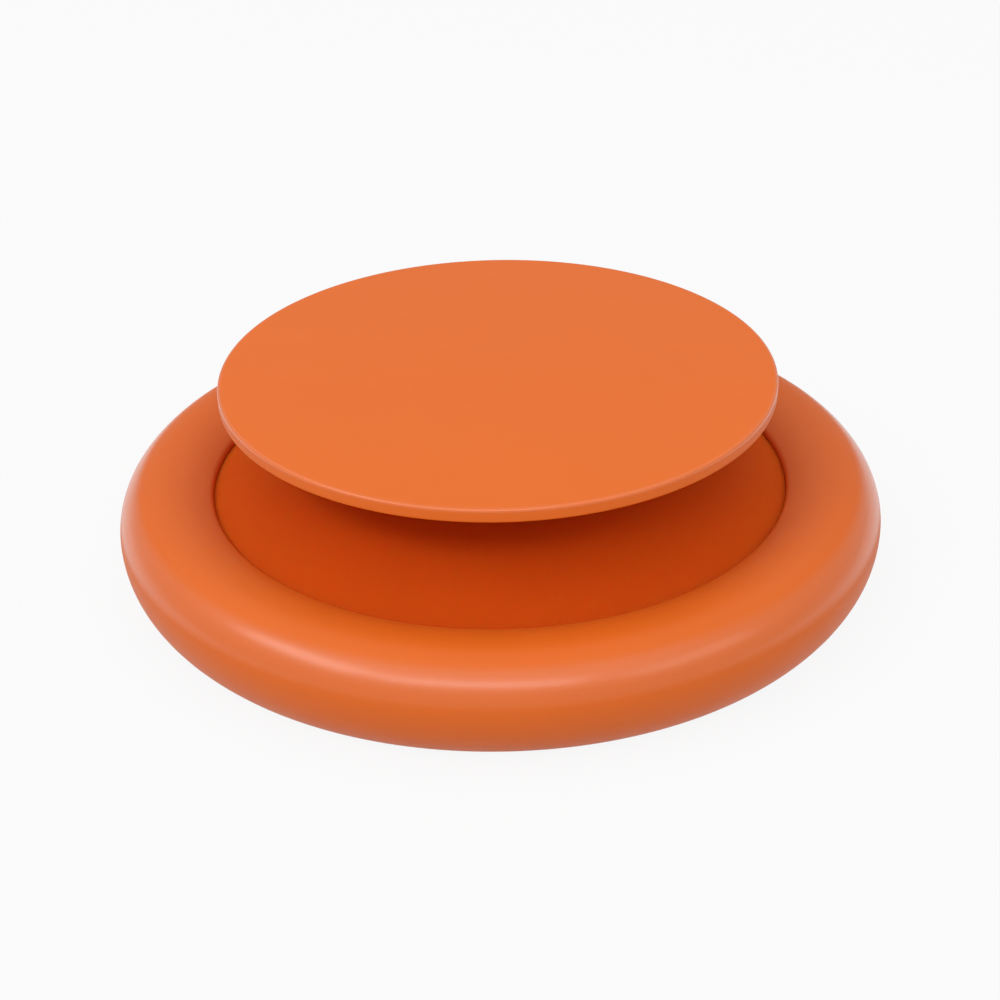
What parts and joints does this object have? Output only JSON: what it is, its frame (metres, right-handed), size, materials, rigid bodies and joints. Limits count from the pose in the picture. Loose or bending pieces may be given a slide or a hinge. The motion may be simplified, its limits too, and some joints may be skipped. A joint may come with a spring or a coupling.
{
  "type": "collapsible phone grip",
  "caption": "Round magnetic phone grip: a soft-edged ring base and a thin disc on a soft cone-shaped neck, which folds so that the disc lies in the ring.",
  "frame": {"origin": "middle of the flat face that meets the phone", "axes": "+Z along the grip's axis, away from the phone; every direction across it is alike"},
  "size_m": [0.058, 0.058, 0.0152],
  "materials": {
    "shell_skin": "matte soft-touch orange",
    "disc_skin": "matte soft-touch orange",
    "neck_rubber": "matte moulded elastomer",
    "pad_rubber": "matte silicone",
    "cover_plastic": "fine moulded texture",
    "yoke_steel": "punched steel sheet",
    "magnet_alloy": "nickel plate"
  },
  "bodies": {
    "base": {"base_shell": "shell_skin", "accordion": "neck_rubber", "contact_pad": "pad_rubber", "bottom_cover": "cover_plastic", "yoke_ring": "yoke_steel", "magnet_01": "magnet_alloy", "magnet_02": "magnet_alloy", "magnet_03": "magnet_alloy", "magnet_04": "magnet_alloy", "magnet_05": "magnet_alloy", "magnet_06": "magnet_alloy", "magnet_07": "magnet_alloy", "magnet_08": "magnet_alloy", "magnet_09": "magnet_alloy", "magnet_10": "magnet_alloy", "magnet_11": "magnet_alloy", "magnet_12": "magnet_alloy", "magnet_13": "magnet_alloy", "magnet_14": "magnet_alloy", "magnet_15": "magnet_alloy", "magnet_16": "magnet_alloy"},
    "disc": {"top_disc": "disc_skin"}
  },
  "joints": [
    {"name": "collapse", "type": "slide", "parent": "base", "child": "disc", "axis": [0, 0, 1], "range_m": [-0.0076, 0], "deforming": ["accordion"]}
  ]
}
